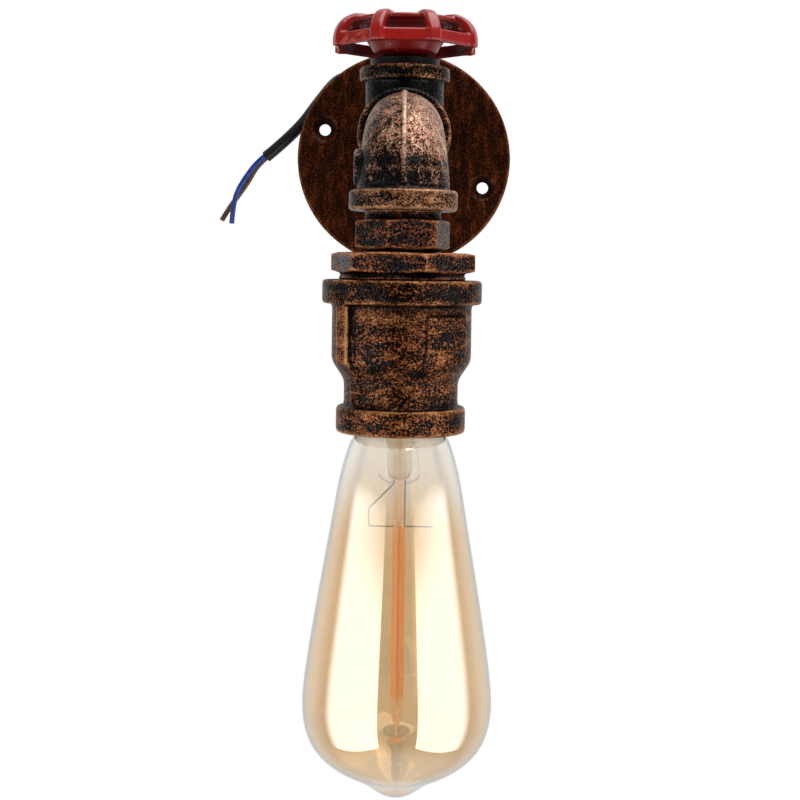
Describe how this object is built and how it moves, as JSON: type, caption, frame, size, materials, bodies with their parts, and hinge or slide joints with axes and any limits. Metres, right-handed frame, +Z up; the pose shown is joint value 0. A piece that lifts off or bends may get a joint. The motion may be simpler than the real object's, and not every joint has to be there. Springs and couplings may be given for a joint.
{
  "type": "pipe wall light",
  "caption": "Wall light made of threaded pipe fittings: a round wall flange, a pipe arm, a tee with a red valve wheel, an elbow turning down, and a reducer holding an amber screw-base bulb.",
  "frame": {"origin": "centre of the wall flange's back face, on the wall", "axes": "+Z up, -Y away from the wall along the pipe arm, +X to the right as seen from the room; the lamp hangs along -Z"},
  "size_m": [0.1307, 0.2288, 0.2773],
  "materials": {
    "copper_rubbed_casting": "dark brown antique paint with copper rubbed on the raised grain and edges, satin",
    "black_casting": "black paint, satin",
    "red_paint": "glossy red paint on a cast wheel",
    "zinc_steel": "zinc plated",
    "porcelain": null,
    "brass_sheet": "bare rolled sheet",
    "solder": "soldered button",
    "cap_glass": "black pressed glass",
    "cap_sheet": "rolled sheet, semi-bright",
    "amber_glass": "clear amber glass, glossy",
    "clear_glass": "clear glass",
    "nickel_wire": "drawn wire",
    "filament_coat": "orange phosphor coat on the filament rods",
    "board": "printed board, bare of text",
    "gland_rubber": "black rubber",
    "flex_black": "smooth black sheath",
    "core_blue": "smooth blue insulation",
    "core_brown": "smooth brown insulation"
  },
  "bodies": {
    "fixture": {"wall_flange": "copper_rubbed_casting", "wall_nipple": "copper_rubbed_casting", "tee": "copper_rubbed_casting", "street_elbow": "copper_rubbed_casting", "hex_nipple": "copper_rubbed_casting", "hex_bushing": "copper_rubbed_casting", "reducer_cup": "copper_rubbed_casting", "top_plug": "black_casting", "thrust_washer": "zinc_steel", "holder_rod": "zinc_steel", "rod_nut": "zinc_steel", "retaining_disc": "zinc_steel", "holder_body": "porcelain", "screw_shell": "brass_sheet", "centre_contact": "brass_sheet", "cord_gland": "gland_rubber", "flex_inner": "flex_black", "flex_sheath": "flex_black", "blue_core": "core_blue", "brown_core": "core_brown", "inner_blue_wire": "core_blue", "inner_brown_wire": "core_brown"},
    "valve_wheel": {"handwheel": "red_paint", "handwheel_nut": "zinc_steel", "valve_stem": "zinc_steel", "stem_washer": "zinc_steel", "stem_nut": "zinc_steel"},
    "bulb_carrier": {"centre_button": "solder"},
    "bulb": {"cap_insulator": "cap_glass", "bulb_cap": "cap_sheet", "bulb_glass": "amber_glass", "stem_mount": "clear_glass", "lead_wires": "nickel_wire", "filament_post": "nickel_wire", "led_filaments": "filament_coat", "driver_board": "board"}
  },
  "joints": [
    {"name": "wheel_turn", "type": "hinge", "parent": "fixture", "child": "valve_wheel", "pos_m": [0, -0.098, 0], "axis": [0, 0, 1], "continuous": true},
    {"name": "bulb_travel", "type": "slide", "parent": "fixture", "child": "bulb_carrier", "axis": [0, 0, -1], "range_m": [0, 0.0255]},
    {"name": "bulb_turn", "type": "hinge", "parent": "bulb_carrier", "child": "bulb", "pos_m": [0, -0.16, 0], "axis": [0, 0, -1], "range_deg": [0, 2520]}
  ],
  "couplings": [
    {"joint": "bulb_travel", "follows": "bulb_turn", "m_per_rad": 0.00057773}
  ]
}
